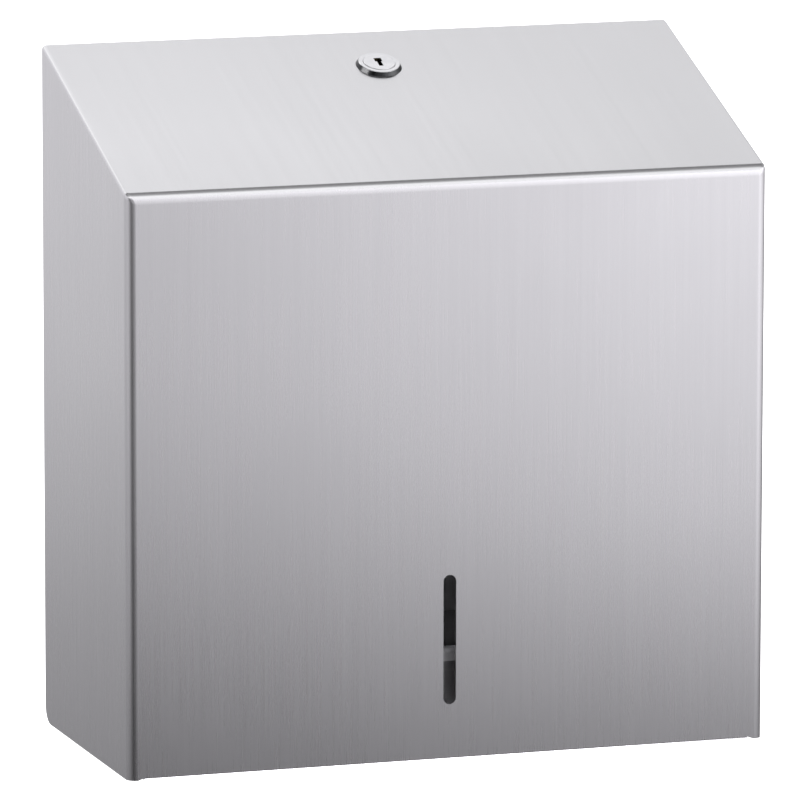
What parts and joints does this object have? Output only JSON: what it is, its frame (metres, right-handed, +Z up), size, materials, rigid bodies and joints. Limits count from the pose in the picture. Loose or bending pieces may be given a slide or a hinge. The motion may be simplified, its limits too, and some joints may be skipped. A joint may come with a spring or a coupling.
{
  "type": "folded towel dispenser",
  "caption": "Wall-hung folded towel dispenser: a brushed stainless cover with a sloping top, a viewing slot and a cam lock tilts forward off a back plate that carries the towel tray.",
  "frame": {"origin": "centre of the rectangle of four wall screw holes, on the wall plane", "axes": "+X to the right seen from the front, +Y into the wall, +Z up; the cover's front faces -Y"},
  "size_m": [0.3, 0.135, 0.312],
  "materials": {
    "satin_stainless": "vertical brushed satin",
    "plate_steel": "dull rolled stainless",
    "tray_steel": "satin stainless",
    "guide_steel": "satin stainless",
    "stud_steel": "turned stainless",
    "spring_steel": "dark spring steel",
    "plated_screw": "bright zinc plating",
    "cam_steel": "zinc plated pressing",
    "lock_chrome": "polished chrome",
    "wafer_brass": "stamped brass",
    "nylon": "natural nylon",
    "black_rubber": "matt black rubber"
  },
  "bodies": {
    "frame": {"back_plate": "plate_steel", "towel_tray": "tray_steel", "tray_screws": "plated_screw", "left_towel_guide": "guide_steel", "right_towel_guide": "guide_steel", "left_guide_screws": "plated_screw", "right_guide_screws": "plated_screw", "left_hinge_bush": "nylon", "right_hinge_bush": "nylon", "lock_keeper": "guide_steel", "keeper_screws": "plated_screw", "cover_buffers": "black_rubber"},
    "cover": {"cover": "satin_stainless", "left_hinge_stud": "stud_steel", "right_hinge_stud": "stud_steel", "left_hinge_clip": "spring_steel", "right_hinge_clip": "spring_steel", "left_stop_stud": "stud_steel", "right_stop_stud": "stud_steel", "lock_housing": "lock_chrome", "lock_washer": "plated_screw", "lock_nut": "plated_screw"},
    "lock_core": {"lock_plug": "lock_chrome", "lock_wafers": "wafer_brass", "lock_cam": "cam_steel", "cam_plate": "cam_steel", "cam_spring_washer": "spring_steel", "cam_screw": "plated_screw"}
  },
  "joints": [
    {"name": "cover_tilt", "type": "hinge", "parent": "frame", "child": "cover", "pos_m": [0, -0.0085, -0.148], "axis": [1, 0, 0], "range_deg": [0, 75]},
    {"name": "lock_turn", "type": "hinge", "parent": "cover", "child": "lock_core", "pos_m": [0, -0.03143, 0.1445], "axis": [0, 0.3484, -0.9373], "range_deg": [0, 90]}
  ]
}
